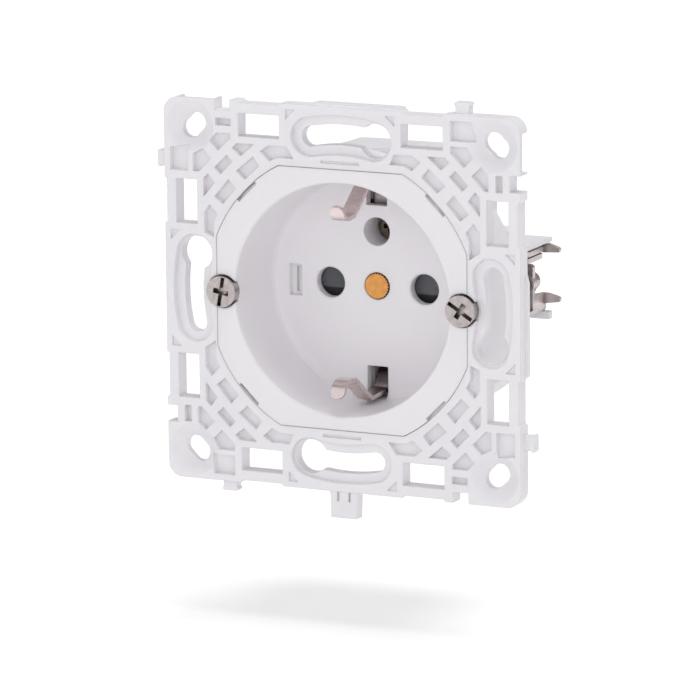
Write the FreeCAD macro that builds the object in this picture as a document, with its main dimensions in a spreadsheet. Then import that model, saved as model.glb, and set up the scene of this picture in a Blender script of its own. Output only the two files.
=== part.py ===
import FreeCAD, Part
import math
import os
import re

# Flush-mounted type F socket insert in its moulded support frame, without cover plate.
# Units are millimetres. X is to the right, Z is up, Y goes into the wall.
# The origin is the centre of the support frame's back face, which lies on the wall.

V = FreeCAD.Vector

# Driving dimensions
P = {
    # support frame
    "plate_size": 71.0,
    "plate_thick": 3.2,
    "corner_radius": 2.8,
    "side_setback": 0.45,
    "ledge_thick": 0.8,
    "ledge_width": 0.85,
    "seam_gap": 0.1,
    "window_near": 12.15,
    "window_far": 20.4,
    "window_inner": 28.9,
    "window_outer": 33.2,
    "keyhole_radius": 30.3,
    "keyhole_slot": 3.76,
    "keyhole_head": 6.3,
    "keyhole_tail_at": 6.2,
    "keyhole_head_at": 6.6,
    "keyhole_rim": 7.3,
    "keyhole_recess": 1.15,
    "lattice_depth": 1.2,
    "corner_hole_at": 30.2,
    "corner_hole_long": 5.2,
    "corner_hole_wide": 3.6,
    "dish_diameter": 9.6,
    "dish_depth": 2.0,
    "notch_near": 22.1,
    "notch_width": 3.05,
    "notch_deep": 2.0,
    "tab_width": 2.7,
    "tab_reach": 2.1,
    "tab_thick": 1.7,
    "tab_lip": 0.22,
    "back_rim": 0.45,
    "nick_depth": 0.4,
    "tongue_width": 5.4,
    "tongue_reach": 5.0,
    "tongue_thick": 2.4,
    # socket insert
    "insert_radius": 27.0,
    "insert_flat_x": 25.0,
    "insert_flat_z": 24.0,
    "latch_slot_long": 5.1,
    "latch_slot_wide": 0.7,
    "latch_slot_deep": 1.2,
    "well_radius": 21.5,
    "well_floor_radius": 21.1,
    "well_depth": 15.5,
    "well_wall": 1.5,
    "floor_thick": 2.0,
    "rim_round": 0.5,
    "floor_round": 1.6,
    "pin_spacing": 19.0,
    "pin_hole": 5.7,
    "pin_lead": 0.25,
    "floor_window_wide": 4.2,
    "floor_window_near": 15.0,
    "floor_window_far": 21.0,
    "side_recess_near": 15.3,
    "side_recess_far": 17.9,
    "side_recess_tall": 5.9,
    "upper_hole_at": 10.15,
    "upper_hole": 5.3,
    "boss_wall": 0.7,
    "boss_long": 6.1,
    "boss_floor": 0.8,
    # claw screws and claws
    "claw_screw_at": 23.95,
    "claw_screw_size": 3.5,
    "claw_screw_head": 5.8,
    "claw_screw_head_tall": 2.0,
    "claw_screw_proud": 0.8,
    "claw_screw_long": 32.3,
    "screw_clearance": 0.25,
    "claw_sheet": 1.0,
    "claw_width": 4.0,
    "claw_height": 10.4,
    "claw_arm_long": 8.2,
    "claw_web_back": 5.2,
    "claw_prong": 2.9,
    "claw_rear": 30.4,
    # earth strap, stud and upper screw
    "strap_thick": 0.8,
    "strap_width": 2.8,
    "strap_wall_gap": 0.45,
    "clip_hump": 14.6,
    "clip_tip": 17.2,
    "clip_reach": 2.0,
    "strap_plate": 8.6,
    "stud_head": 5.0,
    "stud_head_thick": 1.0,
    "stud_shank": 2.4,
    "stud_tooth": 0.3,
    "stud_proud": 0.25,
    "upper_screw_head": 4.6,
    "upper_screw_head_tall": 1.5,
    "upper_screw_size": 2.8,
    "upper_screw_long": 10.0,
    "part_gap": 0.1,
    # shutter
    "shutter_thick": 3.05,
    "shutter_lip": 1.0,
    "bridge_thick": 1.6,
    "bridge_tall": 3.4,
    "shutter_wing": 6.6,
    "shutter_top": 4.2,
    "shutter_edge": 1.3,
    "shutter_foot": 3.3,
    "shutter_travel": 6.0,
    "shutter_gap": 0.3,
    "spring_diameter": 2.0,
    "spring_wire": 0.35,
    # rear housing and carrier
    "skirt_gap": 0.2,
    "skirt_wall": 1.1,
    "skirt_floor": 1.3,
    "body_side_gap": 3.95,
    "body_rear": 32.8,
    "body_wall": 1.4,
    "body_half_tall": 23.8,
    "body_shoulder": 15.0,
    "carrier_side_wall": 1.8,
    "carrier_end_wall": 4.4,
    "carrier_thick": 3.3,
    "carrier_floor": 0.7,
    "shelf_at": 7.2,
    "shelf_thick": 0.8,
    "shelf_rear": 30.6,
    # contacts and terminals
    "contact_sheet": 0.7,
    "contact_grip": 4.9,
    "contact_long": 11.0,
    "contact_web_at": 3.5,
    "contact_leaf_inner": 3.3,
    "busbar_drop": 15.6,
    "wire_hole": 3.2,
    "wire_pitch": 6.0,
    "wire_gap": 0.5,
    "terminal_drop": 10.3,
    "earth_plate_at": 15.4,
    "clamp_sheet": 0.45,
    "clamp_width": 8.6,
    "button_at": 6.8,
    "button_wide": 2.2,
    "button_tall": 1.8,
    "button_gap": 0.1,
    "button_proud": 0.6,
    "button_travel": 1.0,
}

doc = FreeCAD.newDocument("type_f_socket")
dims = doc.addObject("Spreadsheet::Sheet", "dims")
for row, (alias, value) in enumerate(P.items(), start=1):
    dims.set("A%d" % row, alias.replace("_", " "))
    dims.set("B%d" % row, str(value))
    dims.setAlias("B%d" % row, alias)
doc.recompute()


def size(alias):
    return float(dims.get(alias))


def bound(text):
    """The expression with each named dimension pointing at its cell."""
    return re.sub(r"[a-z][a-z_]*[a-z]", lambda m: "dims." + m.group(0) if m.group(0) in P else m.group(0), str(text))


# Depths that several pieces share, as expressions in the named dimensions
FRONT = "(-plate_thick)"
FLOOR = "(well_depth - plate_thick)"
FLOOR_BACK = "(well_depth - plate_thick + floor_thick)"
STRAP_BACK = "(well_depth - plate_thick + floor_thick + part_gap / 2 + strap_thick)"
CARRIER_FRONT = "(well_depth - plate_thick + floor_thick + part_gap + strap_thick)"
CARRIER_BACK = "(well_depth - plate_thick + floor_thick + part_gap + strap_thick + carrier_thick)"
CHAMBER_BACK = "(body_rear - body_wall)"
# Widths that follow from the claw screws, which run past the body inside the round skirt
BODY_SIDE = "(claw_screw_at - body_side_gap)"
BODY_RADIUS = "(claw_screw_at + claw_screw_size / 2 + skirt_gap + skirt_wall)"
CHAMBER_SIDE = "(claw_screw_at - body_side_gap - body_wall)"
# The web of a contact, and the wires beside it
WEB = "(pin_spacing / 2 + contact_web_at)"
WIRE = "(pin_spacing / 2 + contact_web_at + contact_sheet + wire_gap + wire_hole / 2)"
EARTH_WIRE = "(earth_plate_at + wire_gap + wire_hole / 2)"
BUTTON = "(pin_spacing / 2 + button_at)"
EARTH_BUTTON = "(earth_plate_at + button_at - contact_web_at - contact_sheet)"


def value(text):
    """The number that an expression in the named dimensions stands for."""
    out = dims.evalExpression(bound(text))
    return float(getattr(out, "Value", out))


# Helpers for primitives along Y, boxes, booleans and extruded outlines
ALONG_Y = FreeCAD.Rotation(V(1, 0, 0), -90)
FACING = FreeCAD.Rotation(V(1, 0, 0), 90)
SIDE = FreeCAD.Rotation(V(1, 1, 1), 120)
FLAT = FreeCAD.Rotation()


def put(obj, x, y, z, rotation=None):
    obj.Placement = FreeCAD.Placement(V(0, 0, 0), rotation or FreeCAD.Rotation())
    obj.setExpression("Placement.Base.x", bound(x))
    obj.setExpression("Placement.Base.y", bound(y))
    obj.setExpression("Placement.Base.z", bound(z))
    return obj


def box(name, x0, x1, y0, y1, z0, z1):
    obj = doc.addObject("Part::Box", name)
    obj.setExpression("Length", bound("(%s) - (%s)" % (x1, x0)))
    obj.setExpression("Width", bound("(%s) - (%s)" % (y1, y0)))
    obj.setExpression("Height", bound("(%s) - (%s)" % (z1, z0)))
    return put(obj, x0, y0, z0)


def rod(name, radius, y0, y1, x="0", z="0"):
    obj = doc.addObject("Part::Cylinder", name)
    obj.setExpression("Radius", bound(radius))
    obj.setExpression("Height", bound("(%s) - (%s)" % (y1, y0)))
    return put(obj, x, y0, z, ALONG_Y)


def cone(name, radius_front, radius_back, y0, y1, x="0", z="0"):
    obj = doc.addObject("Part::Cone", name)
    obj.setExpression("Radius1", bound(radius_front))
    obj.setExpression("Radius2", bound(radius_back))
    obj.setExpression("Height", bound("(%s) - (%s)" % (y1, y0)))
    return put(obj, x, y0, z, ALONG_Y)


def fuse(name, pieces):
    obj = doc.addObject("Part::MultiFuse", name)
    obj.Shapes = pieces
    return obj


def cut(name, base, tools):
    obj = doc.addObject("Part::Cut", name)
    obj.Base = base
    obj.Tool = tools[0] if len(tools) == 1 else fuse(name + "_tools", tools)
    return obj


def common(name, first, second):
    obj = doc.addObject("Part::Common", name)
    obj.Base = first
    obj.Tool = second
    return obj


def line(a, b):
    return Part.LineSegment(V(a[0], a[1], 0), V(b[0], b[1], 0))


def arc(a, b, c):
    return Part.Arc(V(a[0], a[1], 0), V(b[0], b[1], 0), V(c[0], c[1], 0))


def loop(points):
    """Closed run of straight edges through the points."""
    return [line(points[i - 1], points[i]) for i in range(len(points))]


def ring(x, z, radius):
    return [Part.Circle(V(x, z, 0), V(0, 0, 1), radius)]


def outline(name, edges, rotation=FACING, y="0", x="0", z="0"):
    """Free sketch that holds an outline for an extrusion."""
    obj = doc.addObject("Sketcher::SketchObject", name)
    obj.addGeometry(edges, False)
    return put(obj, x, y, z, rotation)


def extrude(name, edges, direction, length, rotation=FACING, x="0", y="0", z="0"):
    obj = doc.addObject("Part::Extrusion", name)
    obj.Base = outline(name + "_outline", edges, rotation, y=y, x=x, z=z)
    obj.DirMode = "Custom"
    obj.Dir = direction
    obj.setExpression("LengthFwd", bound(length))
    obj.Solid = True
    return obj


def slab(name, edges, y0, y1):
    """Outline in X and Z, carried from depth y0 to y1."""
    return extrude(name, edges, V(0, 1, 0), "(%s) - (%s)" % (y1, y0), FACING, y=y0)


def strip(points, thick, bend):
    """Edges of a bent strip whose centre line runs through the points."""
    ends = [V(*p, 0) for p in points]
    left = []
    right = []

    def side(direction):
        return V(-direction.y, direction.x, 0)

    start = ends[0]
    for i in range(1, len(ends)):
        before = (ends[i] - ends[i - 1]).normalize()
        stop = ends[i]
        turn = 0.0
        if i < len(ends) - 1:
            after = (ends[i + 1] - ends[i]).normalize()
            turn = math.atan2(before.cross(after).z, before.dot(after))
        if abs(turn) > 1e-6:
            run = bend * math.tan(abs(turn) / 2)
            stop = ends[i] - before * run
        n = side(before) * (thick / 2)
        left.append(("line", start + n, stop + n))
        right.append(("line", start - n, stop - n))
        start = stop
        if abs(turn) > 1e-6:
            leave = ends[i] + after * run
            sign = 1 if turn > 0 else -1
            centre = stop + side(before) * (sign * bend)
            middle = (ends[i] - centre).normalize()
            m = side(after) * (thick / 2)
            left.append(("arc", stop + n, centre + middle * (bend - sign * thick / 2), leave + m))
            right.append(("arc", stop - n, centre + middle * (bend + sign * thick / 2), leave - m))
            start = leave
    edges = []
    for run in (left, right):
        for item in run:
            if item[0] == "line":
                edges.append(Part.LineSegment(item[1], item[2]))
            else:
                edges.append(Part.Arc(item[1], item[2], item[3]))
    edges.append(Part.LineSegment(left[0][1], right[0][1]))
    edges.append(Part.LineSegment(left[-1][-1], right[-1][-1]))
    return edges


def rotated(points, quarter_turns):
    """Points turned clockwise, as seen from the front, by quarter turns."""
    out = list(points)
    for _ in range(quarter_turns):
        out = [(p[1], -p[0]) for p in out]
    return out


# Outline of the insert's front, a circle cut by four flats
def insert_edges(grow):
    r = size("insert_radius") + grow
    fx = size("insert_flat_x") + grow
    fz = size("insert_flat_z") + grow
    zx = math.sqrt(r * r - fx * fx)
    xz = math.sqrt(r * r - fz * fz)
    d = r / math.sqrt(2)
    edges = [
        line((-xz, fz), (xz, fz)),
        arc((xz, fz), (d, d), (fx, zx)),
        line((fx, zx), (fx, -zx)),
        arc((fx, -zx), (d, -d), (xz, -fz)),
        line((xz, -fz), (-xz, -fz)),
        arc((-xz, -fz), (-d, -d), (-fx, -zx)),
        line((-fx, -zx), (-fx, zx)),
        arc((-fx, zx), (-d, d), (-xz, fz)),
    ]
    return edges


# Support frame

body = doc.addObject("PartDesign::Body", "support_frame")
body.Label = "support_frame"


def plane(role):
    for item in body.Origin.OriginFeatures:
        if item.Role == role:
            return item
    raise ValueError(role)


def face_sketch(name, edges, height):
    """Sketch on the frame's own front plane, height above the wall."""
    sk = body.newObject("Sketcher::SketchObject", name)
    sk.AttachmentSupport = [(plane("XZ_Plane"), "")]
    sk.MapMode = "FlatFace"
    sk.setExpression("AttachmentOffset.Base.z", bound(height))
    sk.addGeometry(edges, False)
    return sk


def pad(name, edges, height, length):
    feature = body.newObject("PartDesign::Pad", name)
    feature.Refine = False
    feature.Profile = face_sketch(name + "_sketch", edges, height)
    feature.setExpression("Length", bound(length))
    body.Tip = feature
    return feature


def pocket(name, edges, height, length, through=False):
    feature = body.newObject("PartDesign::Pocket", name)
    feature.Refine = False
    feature.Profile = face_sketch(name + "_sketch", edges, height)
    if through:
        feature.Type = "ThroughAll"
    else:
        feature.setExpression("Length", bound(length))
    body.Tip = feature
    return feature


def around(name, features, count=4):
    """The same features on each side of the frame."""
    pattern = body.newObject("PartDesign::PolarPattern", name)
    pattern.Refine = False
    pattern.Originals = features
    pattern.Axis = (plane("Y_Axis"), [""])
    pattern.Angle = 360
    pattern.Occurrences = count
    body.Tip = pattern
    return pattern


half = size("plate_size") / 2
setback = size("side_setback")
near = size("window_near")
far = size("window_far")
radius = size("corner_radius")
notch_a = size("notch_near")
notch_b = notch_a + size("notch_width")
notch_r = half - size("notch_deep")


def frame_edges():
    """Outer outline of the frame, with a notch and two set-back runs on each side."""
    edges = []
    side = [
        (-half + radius, half),
        (-notch_b, half),
        (-notch_b, notch_r),
        (-notch_a, notch_r),
        (-notch_a, half),
        (-far - 0.2, half),
        (-far + 0.25, half - setback),
        (-near - 0.25, half - setback),
        (-near + 0.2, half),
        (near - 0.2, half),
        (near + 0.25, half - setback),
        (far - 0.25, half - setback),
        (far + 0.2, half),
        (half - radius, half),
    ]
    c = half - radius
    m = c + radius / math.sqrt(2)
    for q in range(4):
        pts = rotated(side, q)
        for a, b in zip(pts, pts[1:]):
            edges.append(line(a, b))
        mid = rotated([(m, m)], q)[0]
        last = rotated([(half, half - radius)], q)[0]
        edges.append(arc(pts[-1], mid, last))
    return edges


def ledge_edges():
    """Opening behind the insert's flange, smaller than the flange by the ledge."""
    return insert_edges(-size("ledge_width"))


pad("frame_back", frame_edges() + ledge_edges(), "0", "ledge_thick")
pad("frame_front", frame_edges() + insert_edges(size("seam_gap")), "ledge_thick", "plate_thick - ledge_thick")

# tabs that hook into the notches of a neighbouring frame
tab_mid = notch_a + size("notch_width") / 2
tab_a = tab_mid - size("tab_width") / 2
tab_b = tab_mid + size("tab_width") / 2
lip = size("tab_lip")
top = half + size("tab_reach")
tab = pad("tab", loop([
    (tab_a, half - 1.0),
    (tab_a, top - 0.75),
    (tab_a - lip, top - 0.55),
    (tab_a - lip, top - 0.15),
    (tab_a + 0.1, top),
    (tab_b - 0.1, top),
    (tab_b + lip, top - 0.15),
    (tab_b + lip, top - 0.55),
    (tab_b, top - 0.75),
    (tab_b, half - 1.0),
]), "0", "tab_thick")
around("tabs", [tab])

# raised rim along the middle of each side, at the back
rim = pad("back_rim_run", loop([
    (-7.0, half - 1.0),
    (-7.0, half),
    (-5.4, half + size("back_rim")),
    (near - 0.6, half + size("back_rim")),
    (near - 0.2, half),
    (near - 0.2, half - 1.0),
]), "0", "plate_thick / 3")
around("back_rims", [rim])

# tongue at the lower edge
tw = size("tongue_width") / 2
tongue_low = -half - size("tongue_reach")
pad("tongue", loop([
    (-tw, -half + 0.8),
    (-tw, -half - 0.4),
    (-tw + 0.15, tongue_low),
    (tw - 0.15, tongue_low),
    (tw, -half - 0.4),
    (tw, -half + 0.8),
]), "0.3", "tongue_thick")
pocket("tongue_grooves",
       loop([(-1.35, -half - 0.2), (-0.95, -half - 0.2), (-0.95, -half - 1.9), (-1.35, -half - 1.9)])
       + loop([(0.95, -half - 0.2), (1.35, -half - 0.2), (1.35, -half - 1.9), (0.95, -half - 1.9)]),
       "0.3 + tongue_thick", "tongue_thick / 4")

# windows, two on each side
w_in = size("window_inner")
w_out = size("window_outer")
windows = pocket("window_pair",
                 loop([(near, w_in), (far, w_in), (far, w_out), (near, w_out)])
                 + loop([(-far, w_in), (-near, w_in), (-near, w_out), (-far, w_out)]),
                 "plate_thick", "plate_thick", True)
around("windows", [windows])


def curved_slot(mid_radius, wide, tail, head):
    """Slot curved about the socket's centre, with round ends at the given offsets."""
    ri = mid_radius - wide / 2
    ro = mid_radius + wide / 2
    a0 = math.pi / 2 + math.asin(tail / mid_radius)
    a1 = math.pi / 2 - math.asin(head / mid_radius)

    def at(r, a):
        return (r * math.cos(a), r * math.sin(a))

    e0 = wide / 2 / mid_radius
    return [
        arc(at(ro, a0), at(ro, (a0 + a1) / 2), at(ro, a1)),
        arc(at(ro, a1), at(mid_radius, a1 - e0), at(ri, a1)),
        arc(at(ri, a1), at(ri, (a0 + a1) / 2), at(ri, a0)),
        arc(at(ri, a0), at(mid_radius, a0 + e0), at(ro, a0)),
    ]


# keyhole slots for the wall box screws, each in a sunk rim
kr = size("keyhole_radius")
tail_at = size("keyhole_tail_at")
head_at = size("keyhole_head_at")
sunk = pocket("keyhole_sunk_rim", curved_slot(kr, size("keyhole_rim"), tail_at, head_at),
              "plate_thick", "keyhole_recess")
slot = pocket("keyhole_slot_cut", curved_slot(kr, size("keyhole_slot"), tail_at, head_at),
              "plate_thick", "plate_thick", True)
head_z = math.sqrt(kr * kr - head_at * head_at)
head = pocket("keyhole_head_cut", ring(head_at, head_z, size("keyhole_head") / 2),
              "plate_thick", "plate_thick", True)
around("keyholes", [sunk, slot, head])

# lattice of shallow pockets between ribs, given for the upper left corner
LATTICE = [
    [(-34.3, 21.9), (-30.7, 21.9), (-30.7, 26.6), (-34.3, 26.1)],
    [(-29.7, 21.9), (-28.5, 21.9), (-26.0, 24.5), (-27.7, 26.2), (-29.7, 25.1)],
    [(-24.6, 26.0), (-22.0, 28.5), (-22.0, 29.3), (-24.9, 29.3), (-26.3, 27.8)],
    [(-24.95, 30.7), (-21.9, 30.7), (-21.9, 32.05), (-24.95, 32.05)],
    [(-25.35, 22.85), (-24.15, 21.65), (-21.65, 24.15), (-22.85, 25.35)],
    [(-19.95, 25.3), (-17.3, 27.6), (-20.8, 27.6), (-21.7, 26.65)],
    [(-25.3, 19.95), (-26.65, 21.7), (-27.6, 20.8), (-27.6, 17.3)],
    [(-14.2, 24.75), (-12.6, 25.45), (-9.3, 25.45), (-10.7, 27.6), (-14.4, 27.6), (-16.0, 26.4)],
    [(-24.75, 14.2), (-25.6, 12.6), (-25.6, 9.9), (-27.5, 10.7), (-27.5, 14.4), (-26.4, 16.0)],
    [(-19.2, 21.0), (-16.2, 23.7), (-17.5, 25.4), (-20.9, 22.5)],
    [(-21.0, 19.2), (-23.7, 16.2), (-25.4, 17.5), (-22.5, 20.9)],
]
lattice_edges = []
for cell in LATTICE:
    lattice_edges += loop(cell)
lattice = pocket("lattice_corner", lattice_edges, "plate_thick", "lattice_depth")
around("lattice", [lattice])
# small shallow corner nicks beside the ends of the keyhole's rim
nick_edges = []
for hand in (-1, 1):
    nick_edges += loop([(hand * 9.0, 34.4), (hand * 10.85, 34.4), (hand * 10.85, 32.6)])
nicks = pocket("corner_nicks", nick_edges, "plate_thick", "nick_depth")
around("nicks", [nicks])
pocket("centre_grooves",
       loop([(-3.8, 25.05), (3.8, 25.05), (3.8, 25.5), (-3.8, 25.5)])
       + loop([(-3.8, -25.05), (3.8, -25.05), (3.8, -25.5), (-3.8, -25.5)]),
       "plate_thick", "nick_depth")

# corner dishes with an oblong hole lying across the diagonal
at = size("corner_hole_at")
dish = body.newObject("PartDesign::SubtractiveCone", "corner_dish")
dish.Refine = False
dish.AttachmentSupport = [(plane("XZ_Plane"), "")]
dish.MapMode = "FlatFace"
dish.setExpression("AttachmentOffset.Base.x", bound("corner_hole_at"))
dish.setExpression("AttachmentOffset.Base.y", bound("corner_hole_at"))
dish.setExpression("AttachmentOffset.Base.z", bound("plate_thick - dish_depth"))
dish.setExpression("Radius1", bound("corner_hole_wide / 2 + 0.4"))
dish.setExpression("Radius2", bound("dish_diameter / 2"))
dish.setExpression("Height", bound("dish_depth"))
body.Tip = dish
s2 = math.sqrt(0.5)
hl = (size("corner_hole_long") - size("corner_hole_wide")) / 2
hw = size("corner_hole_wide") / 2


def diagonal(along, across):
    """Point beside the upper right hole: along the tangent, across towards the corner."""
    return (at - along * s2 + across * s2, at + along * s2 + across * s2)


oblong = pocket("corner_hole", [
    line(diagonal(-hl, hw), diagonal(hl, hw)),
    arc(diagonal(hl, hw), diagonal(hl + hw, 0), diagonal(hl, -hw)),
    line(diagonal(hl, -hw), diagonal(-hl, -hw)),
    arc(diagonal(-hl, -hw), diagonal(-hl - hw, 0), diagonal(-hl, hw)),
], "plate_thick", "plate_thick", True)
around("corners", [dish, oblong])

# relief behind the edge beside each notch, for the neighbour's tab
relief = pocket("tab_relief", loop([
    (-half + radius, half - 1.0),
    (-notch_b - 0.4, half - 1.0),
    (-notch_b - 0.4, half + 0.5),
    (-half + radius, half + 0.5),
]), "plate_thick - 0.7", "plate_thick")
around("tab_reliefs", [relief])

# claw screw heads sit in pockets that straddle the seam
ring_pair = ring(size("claw_screw_at"), 0, size("claw_screw_head") / 2 + size("screw_clearance"))
ring_pair += ring(-size("claw_screw_at"), 0, size("claw_screw_head") / 2 + size("screw_clearance"))
pocket("claw_screw_pockets", ring_pair, "plate_thick", "claw_screw_head_tall - claw_screw_proud")
hole_pair = ring(size("claw_screw_at"), 0, size("claw_screw_size") / 2 + size("screw_clearance"))
hole_pair += ring(-size("claw_screw_at"), 0, size("claw_screw_size") / 2 + size("screw_clearance"))
pocket("claw_screw_holes", hole_pair, "plate_thick", "plate_thick", True)


def latch_slot(beyond):
    """Slot across the upper right diagonal, from inside the seam to a little past it."""
    r0 = size("insert_radius") - size("latch_slot_wide")
    r1 = size("insert_radius") + beyond
    b = size("latch_slot_long") / 2
    return [(r0 * s2 - b * s2, r0 * s2 + b * s2), (r1 * s2 - b * s2, r1 * s2 + b * s2),
            (r1 * s2 + b * s2, r1 * s2 - b * s2), (r0 * s2 + b * s2, r0 * s2 - b * s2)]


support_frame = body

# Socket insert: flange flush with the frame, well, floor and screw boss
seat = "(claw_screw_head_tall - claw_screw_proud)"
flange = slab("insert_flange", insert_edges(0.0), FRONT, "(-ledge_thick)")
cup = cone("insert_cup", "well_radius + well_wall", "well_floor_radius + well_wall", FRONT, FLOOR_BACK)
boss = rod("insert_boss", "upper_hole / 2 + boss_wall", FLOOR_BACK + " - 0.2", FLOOR_BACK + " + boss_long",
           z="upper_hole_at")
insert_solid = fuse("insert_solid", [flange, cup, boss])

wr = size("well_radius")
fr = size("well_floor_radius")
rr = size("rim_round")
yf = -size("plate_thick")
yb = size("well_depth") - size("plate_thick")
ff = size("floor_round")
# the rim and the foot of the wall are rounded in four steps each
steps = [math.radians(22.5 * i) for i in range(5)]
rim = [(wr + rr * (1 - math.sin(a)), yf + rr * (1 - math.cos(a))) for a in steps]
foot = [(fr - ff * (1 - math.cos(a)), yb - ff * (1 - math.sin(a))) for a in steps]
well = doc.addObject("Part::Revolution", "well_shape")
well.Source = outline("well_profile", [
    line((0, yf - 1), (wr + rr, yf - 1)),
    line((wr + rr, yf - 1), (wr + rr, yf)),
] + [line(rim[i], rim[i + 1]) for i in range(4)] + [
    line(rim[4], foot[0]),
] + [line(foot[i], foot[i + 1]) for i in range(4)] + [
    line(foot[4], (0, yb)),
    line((0, yb), (0, yf - 1)),
], FLAT)
well.Axis = V(0, 1, 0)
well.Base = V(0, 0, 0)
well.Angle = 360
well.Solid = True

cuts = [well]
for side, sign in (("right", "1"), ("left", "-1")):
    x = sign + " * pin_spacing / 2"
    cuts.append(rod("pin_hole_" + side, "pin_hole / 2", FLOOR + " - 1", FLOOR_BACK + " + 1", x=x))
    cuts.append(cone("pin_lead_" + side, "pin_hole / 2 + 2 * pin_lead", "pin_hole / 2",
                     FLOOR + " - pin_lead", FLOOR + " + pin_lead", x=x))
    x = sign + " * claw_screw_at"
    cuts.append(rod("head_pocket_" + side, "claw_screw_head / 2 + screw_clearance",
                    FRONT + " - 1", FRONT + " + " + seat, x=x))
    cuts.append(rod("screw_groove_" + side, "claw_screw_size / 2 + screw_clearance * 0.8",
                    FRONT, FLOOR_BACK + " + 1", x=x))
    lo, hi = ("side_recess_near", "side_recess_far") if sign == "1" else ("-side_recess_far", "-side_recess_near")
    cuts.append(box("side_recess_" + side, lo, hi, FLOOR + " - 1", FLOOR + " + floor_thick * 0.6",
                    "-side_recess_tall / 2", "side_recess_tall / 2"))
for place, lo, hi in (("upper", "floor_window_near", "floor_window_far"),
                      ("lower", "-floor_window_far", "-floor_window_near")):
    cuts.append(box("floor_window_" + place, "-floor_window_wide / 2", "floor_window_wide / 2",
                    FLOOR + " - floor_round", FLOOR_BACK + " + 1", lo, hi))
# a fine groove along the bottom of the left recess
cuts.append(box("side_groove", "-side_recess_far + 1.0", "-side_recess_near - 1.1", FLOOR + " + floor_thick * 0.5",
                FLOOR + " + floor_thick * 0.9", "-side_recess_tall * 0.4", "side_recess_tall * 0.4"))
cuts.append(rod("upper_hole_cut", "upper_hole / 2", FLOOR + " - 1",
                FLOOR_BACK + " + boss_long - boss_floor", z="upper_hole_at"))
cuts.append(rod("upper_screw_hole", "upper_screw_size / 2 + part_gap", FLOOR,
                FLOOR_BACK + " + boss_long + 1", z="upper_hole_at"))
cuts.append(rod("stud_seat", "stud_head / 2 + part_gap / 2", FLOOR + " - 1", FLOOR + " + stud_head_thick"))
cuts.append(rod("stud_hole", "stud_shank / 2 + part_gap / 2", FLOOR, FLOOR_BACK + " + 1"))
for q in range(4):
    cuts.append(slab("insert_latch_%d" % q, loop(rotated(latch_slot(0.5), q)), FRONT + " - 1",
                     FRONT + " + latch_slot_deep"))
socket_insert = cut("socket_insert", insert_solid, cuts)
socket_insert.Label = "socket_insert"

# Earth strap: one stamped strip with a clip at each end
zt = size("strap_thick")
y_strap = value(FLOOR_BACK) + size("part_gap") / 2 + zt / 2
wall_z = size("well_floor_radius") - size("strap_wall_gap") - zt / 2
rim_y = -size("plate_thick")
tip_y = rim_y - size("clip_reach")
hump_z = size("clip_hump") + zt / 2
front_end = [(rim_y + 3.4, hump_z + 0.2), (rim_y + 1.4, hump_z), (tip_y, size("clip_tip"))]
clip_paths = {
    # straight up behind the floor and forward through its window
    "upper": [(y_strap, 0.0), (y_strap, wall_z), (rim_y + 9.2, wall_z - 0.9)] + front_end,
    # the lower one dips back behind its window first
    "lower": [(y_strap, 0.0), (y_strap, 10.8), (y_strap + 2.9, 13.6), (y_strap + 2.45, 15.2),
              (y_strap - 1.15, wall_z - 0.65), (rim_y + 10.2, wall_z - 0.35)] + front_end,
}
clip_half = size("strap_width") / 2
tip_front = tip_y - 0.25
strap_pieces = []
for name, path in clip_paths.items():
    bent = extrude("clip_bent_" + name, strip(path, zt, 1.0), V(1, 0, 0), "strap_width", SIDE, x="-strap_width / 2")
    plan = extrude("clip_plan_" + name, [
        line((-clip_half, y_strap + 5), (clip_half, y_strap + 5)),
        line((clip_half, y_strap + 5), (clip_half, tip_front + clip_half)),
        arc((clip_half, tip_front + clip_half), (0, tip_front), (-clip_half, tip_front + clip_half)),
        line((-clip_half, tip_front + clip_half), (-clip_half, y_strap + 5)),
    ], V(0, 0, 1), "well_radius + 1", FLAT, z="-0.5")
    piece = common("clip_" + name, bent, plan)
    if name == "lower":
        mirror = doc.addObject("Part::Mirroring", "clip_lower_mirrored")
        mirror.Source = piece
        mirror.Normal = V(0, 0, 1)
        piece = mirror
    strap_pieces.append(piece)
strap_pieces.append(box("strap_plate_area", "-strap_plate / 2", "strap_plate / 2",
                        FLOOR_BACK + " + part_gap / 2", STRAP_BACK, "5.2", "14.6"))
strap_solid = fuse("strap_solid", strap_pieces)
earth_strap = cut("earth_strap", strap_solid, [
    rod("strap_screw_hole", "upper_hole / 2 + boss_wall + part_gap", FLOOR_BACK + " - 1", STRAP_BACK + " + 1",
        z="upper_hole_at"),
    rod("strap_stud_hole", "stud_shank / 2 + part_gap / 2", FLOOR_BACK + " - 1", STRAP_BACK + " + 1"),
])
earth_strap.Label = "earth_strap"

# Knurled centre stud that rivets the strap to the floor
teeth = 26
star = []
for i in range(2 * teeth):
    r = size("stud_head") / 2 - (size("stud_tooth") if i % 2 else 0.0)
    a = math.pi * i / teeth
    star.append((r * math.cos(a), r * math.sin(a)))
centre_stud = fuse("centre_stud", [
    slab("stud_knurl", loop(star), FLOOR + " - stud_proud", FLOOR + " + stud_head_thick"),
    rod("stud_shank_rod", "stud_shank / 2", FLOOR + " + stud_head_thick / 2", STRAP_BACK + " + 0.2"),
    cone("stud_tail", "stud_shank / 2 + 0.5", "stud_shank / 2 + 0.2", STRAP_BACK, STRAP_BACK + " + 0.3"),
])
centre_stud.Label = "centre_stud"

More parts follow.
